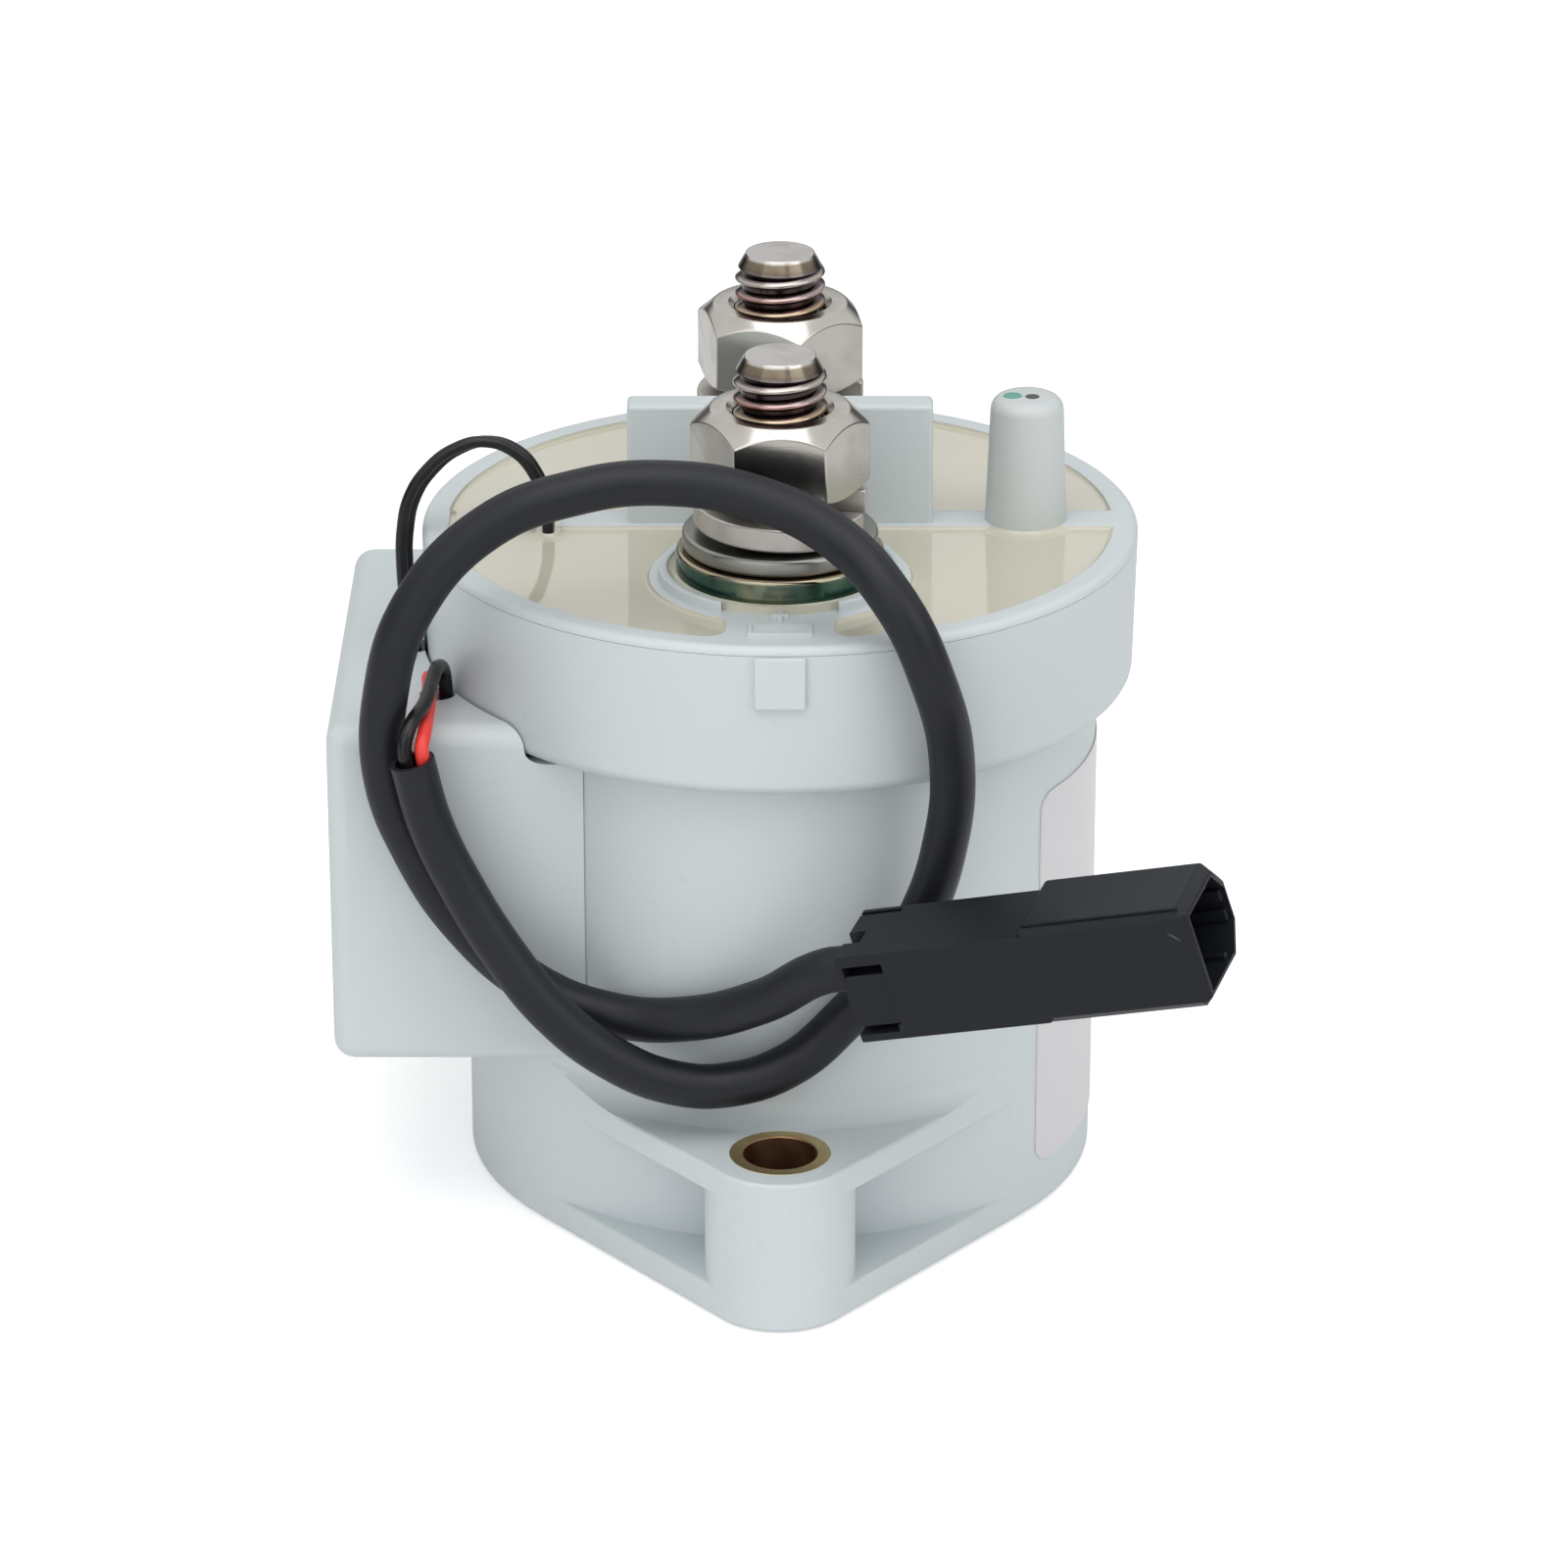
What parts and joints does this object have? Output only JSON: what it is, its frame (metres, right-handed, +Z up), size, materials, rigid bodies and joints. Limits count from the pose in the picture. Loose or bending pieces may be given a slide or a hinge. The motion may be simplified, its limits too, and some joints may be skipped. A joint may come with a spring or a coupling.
{
  "type": "high voltage dc contactor",
  "caption": "Sealed high voltage DC contactor: round moulded body on an eared base, potted top with stud terminals and barrier, side electronics box and sleeved coil cable with connector.",
  "frame": {"origin": "middle of the base plane, halfway between the two mounting holes", "axes": "+Z up the body's axis, +Y towards the rear mounting hole, -X towards the side box; the front terminal, the sleeve's loop and the connector are on the -Y side"},
  "size_m": [0.075, 0.0915, 0.0772],
  "materials": {
    "housing_plastic": "satin",
    "cap_plastic": "satin",
    "potting_resin": "gloss",
    "bush_brass": "machined",
    "soft_iron": "machined",
    "bobbin_nylon": "satin",
    "copper": "machined",
    "stainless": "drawn",
    "spring_steel": "drawn",
    "contact_silver": "satin",
    "chamber_ceramic": "matte",
    "magnet_nickel": "satin",
    "terminal_metal": "plated",
    "nut_metal": "plated",
    "board_laminate": "satin",
    "component_black": "matte",
    "label_film": "satin",
    "wire_black": "satin",
    "wire_red": "satin",
    "sleeve_black": "satin",
    "connector_black": "satin",
    "pin_metal": "plated"
  },
  "bodies": {
    "frame": {"housing": "housing_plastic", "bush_front": "bush_brass", "bush_rear": "bush_brass", "yoke_cup": "soft_iron", "coil_bobbin": "bobbin_nylon", "coil_winding": "copper", "guide_tube": "stainless", "return_spring": "spring_steel", "fixed_core": "soft_iron", "top_plate": "soft_iron", "arc_chamber": "chamber_ceramic", "magnet_left": "magnet_nickel", "magnet_right": "magnet_nickel", "evacuation_tube": "copper", "stud_front": "terminal_metal", "stud_rear": "terminal_metal", "top_cover": "housing_plastic", "potting": "potting_resin", "tube_cap": "cap_plastic", "flat_washer_front": "nut_metal", "flat_washer_rear": "nut_metal", "spring_washer_front": "nut_metal", "spring_washer_rear": "nut_metal", "nut_front": "nut_metal", "nut_rear": "nut_metal", "side_box": "housing_plastic", "circuit_board": "board_laminate", "board_components": "component_black", "blank_label": "label_film", "coil_lead_a": "wire_black", "coil_lead_b": "wire_black", "lead_red": "wire_red", "lead_black": "wire_black", "sleeve": "sleeve_black", "connector_housing": "connector_black", "connector_retainer": "connector_black", "connector_pins": "pin_metal"},
    "armature": {"plunger": "soft_iron", "shaft": "stainless", "spring_seat": "bobbin_nylon", "retaining_clip": "spring_steel", "contact_spring": "spring_steel"},
    "bridge": {"contact_bridge": "copper", "contact_tips": "contact_silver"}
  },
  "joints": [
    {"name": "armature_slide", "type": "slide", "parent": "frame", "child": "armature", "axis": [0, 0, 1], "range_m": [0, 0.002], "stiffness_N_per_m": 1000, "springref_m": -0.004, "deforming": ["return_spring"]},
    {"name": "bridge_overtravel", "type": "slide", "parent": "armature", "child": "bridge", "axis": [0, 0, 1], "range_m": [-0.0005, 0], "deforming": ["contact_spring"]}
  ],
  "couplings": [
    {"joint": "bridge_overtravel", "follows": "armature_slide", "ratio": -0.25}
  ]
}
